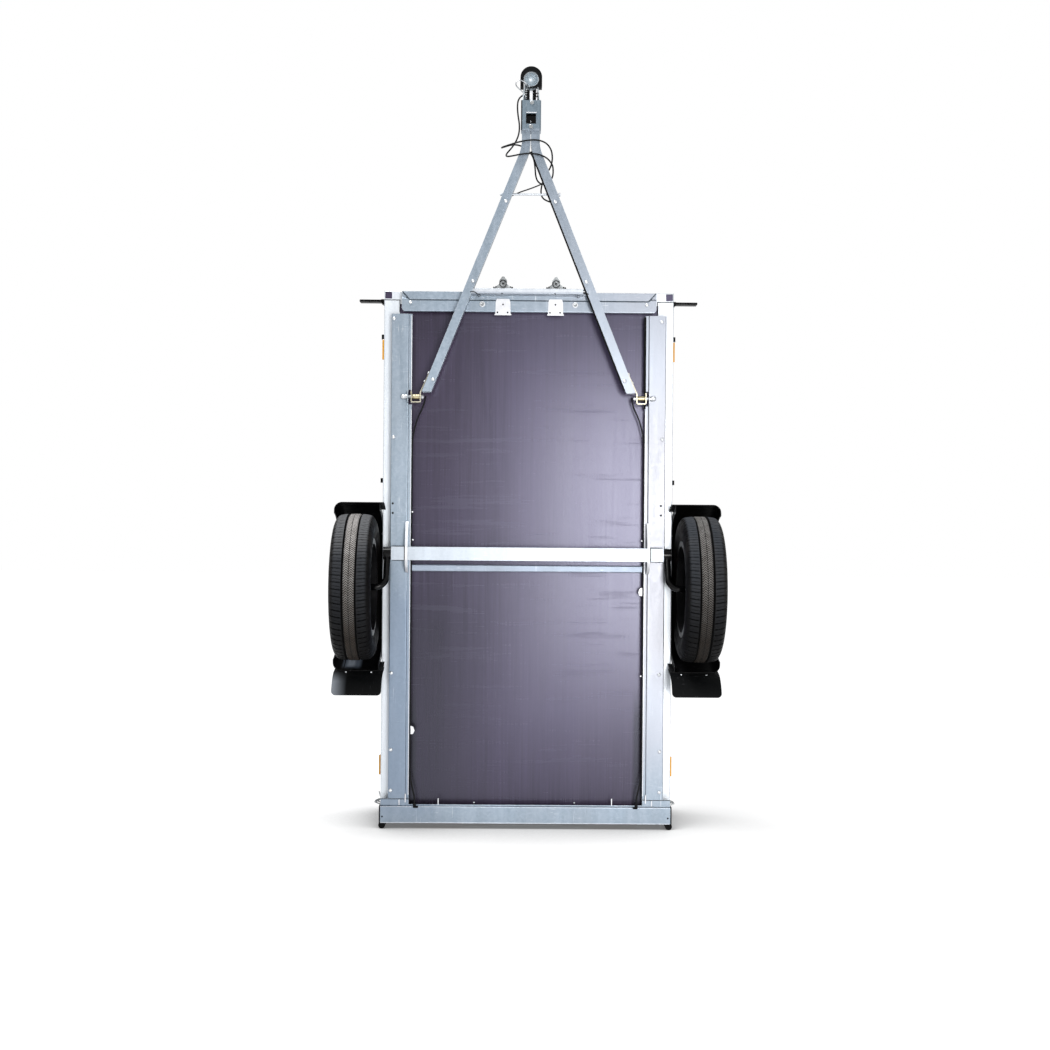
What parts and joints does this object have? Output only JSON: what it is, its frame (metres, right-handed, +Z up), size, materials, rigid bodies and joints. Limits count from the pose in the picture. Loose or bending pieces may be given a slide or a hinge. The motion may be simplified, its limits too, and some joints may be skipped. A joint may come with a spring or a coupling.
{
  "type": "tipping box trailer",
  "caption": "Small single-axle box trailer with V drawbar, plywood floor, sheet walls and tailgate, stood upright on its tail for storage.",
  "frame": {"origin": "on the floor it stands on, under the middle of its bounding box", "axes": "+Z up, along the trailer from its tail to its coupling; +X across; +Y from the wheels' road side to the box's open mouth"},
  "size_m": [1.4636, 0.7834, 2.908],
  "materials": {
    "plywood": "film-faced plywood",
    "sheet_steel": "bright zinc sheet",
    "galvanised": "hot-dip galvanised",
    "bright_zinc": "bright zinc plate",
    "yellow_zinc": "yellow zinc plate",
    "black_steel": "black paint",
    "black_plastic": "moulded, fine grain",
    "black_rubber": "matte rubber",
    "tyre_rubber": "tread and sidewall",
    "wheel_silver": "silver paint",
    "amber_lens": "amber reflector",
    "red_lens": "red lens",
    "cable_black": "cable sheath",
    "wire_steel": "wire rope"
  },
  "bodies": {
    "chassis": {"axle_plates": "galvanised", "axle_tube": "galvanised", "beam_caps": "black_plastic", "catch_plates": "bright_zinc", "cross_member": "galvanised", "floor_board": "plywood", "front_beam": "galvanised", "front_wall": "sheet_steel", "gate_hinges_fixed": "bright_zinc", "gate_latches": "bright_zinc", "harness": "cable_black", "marker_lamps": "black_plastic", "mud_flaps": "black_rubber", "mudguard_left": "black_plastic", "mudguard_right": "black_plastic", "pivot_pins": "bright_zinc", "rail_left": "galvanised", "rail_right": "galvanised", "rear_beam": "galvanised", "rear_posts": "galvanised", "rubber_feet": "black_rubber", "side_reflectors": "amber_lens", "side_wall_left": "sheet_steel", "side_wall_right": "sheet_steel", "swing_arm_left": "black_steel", "swing_arm_right": "black_steel", "tail_lamps": "red_lens", "tie_hooks": "black_plastic"},
    "drawbar": {"drawbar_arm_right": "galvanised", "drawbar_arm_left": "galvanised", "clevises": "bright_zinc", "pivot_bushes": "yellow_zinc", "tie_rod": "bright_zinc", "cross_bar": "bright_zinc", "toggle_latches": "bright_zinc", "coupling_bracket": "galvanised", "coupling_head": "galvanised", "coupling_handle": "black_plastic", "nose_cap": "black_rubber", "arm_cable": "cable_black", "branch_cable": "cable_black", "plug_holder": "black_plastic", "lead_plug": "black_plastic", "safety_cable": "wire_steel", "plug_lead": "cable_black"},
    "tailgate": {"tailgate": "sheet_steel", "gate_hinges_moving": "bright_zinc"},
    "wheel_left": {"tyre_left": "tyre_rubber", "rim_left": "wheel_silver", "hub_left": "black_steel"},
    "wheel_right": {"tyre_right": "tyre_rubber", "rim_right": "wheel_silver", "hub_right": "black_steel"}
  },
  "joints": [
    {"name": "drawbar_hinge", "type": "hinge", "parent": "chassis", "child": "drawbar", "pos_m": [0, -0.02975, 1.643], "axis": [1, 0, 0], "range_deg": [0, 37]},
    {"name": "tailgate_hinge", "type": "hinge", "parent": "chassis", "child": "tailgate", "pos_m": [0, 0.03125, 0.014], "axis": [-1, 0, 0], "range_deg": [0, 175]},
    {"name": "wheel_left_spin", "type": "hinge", "parent": "chassis", "child": "wheel_left", "pos_m": [-0.643, -0.11825, 0.921], "axis": [1, 0, 0], "continuous": true},
    {"name": "wheel_right_spin", "type": "hinge", "parent": "chassis", "child": "wheel_right", "pos_m": [0.643, -0.11825, 0.921], "axis": [1, 0, 0], "continuous": true}
  ]
}
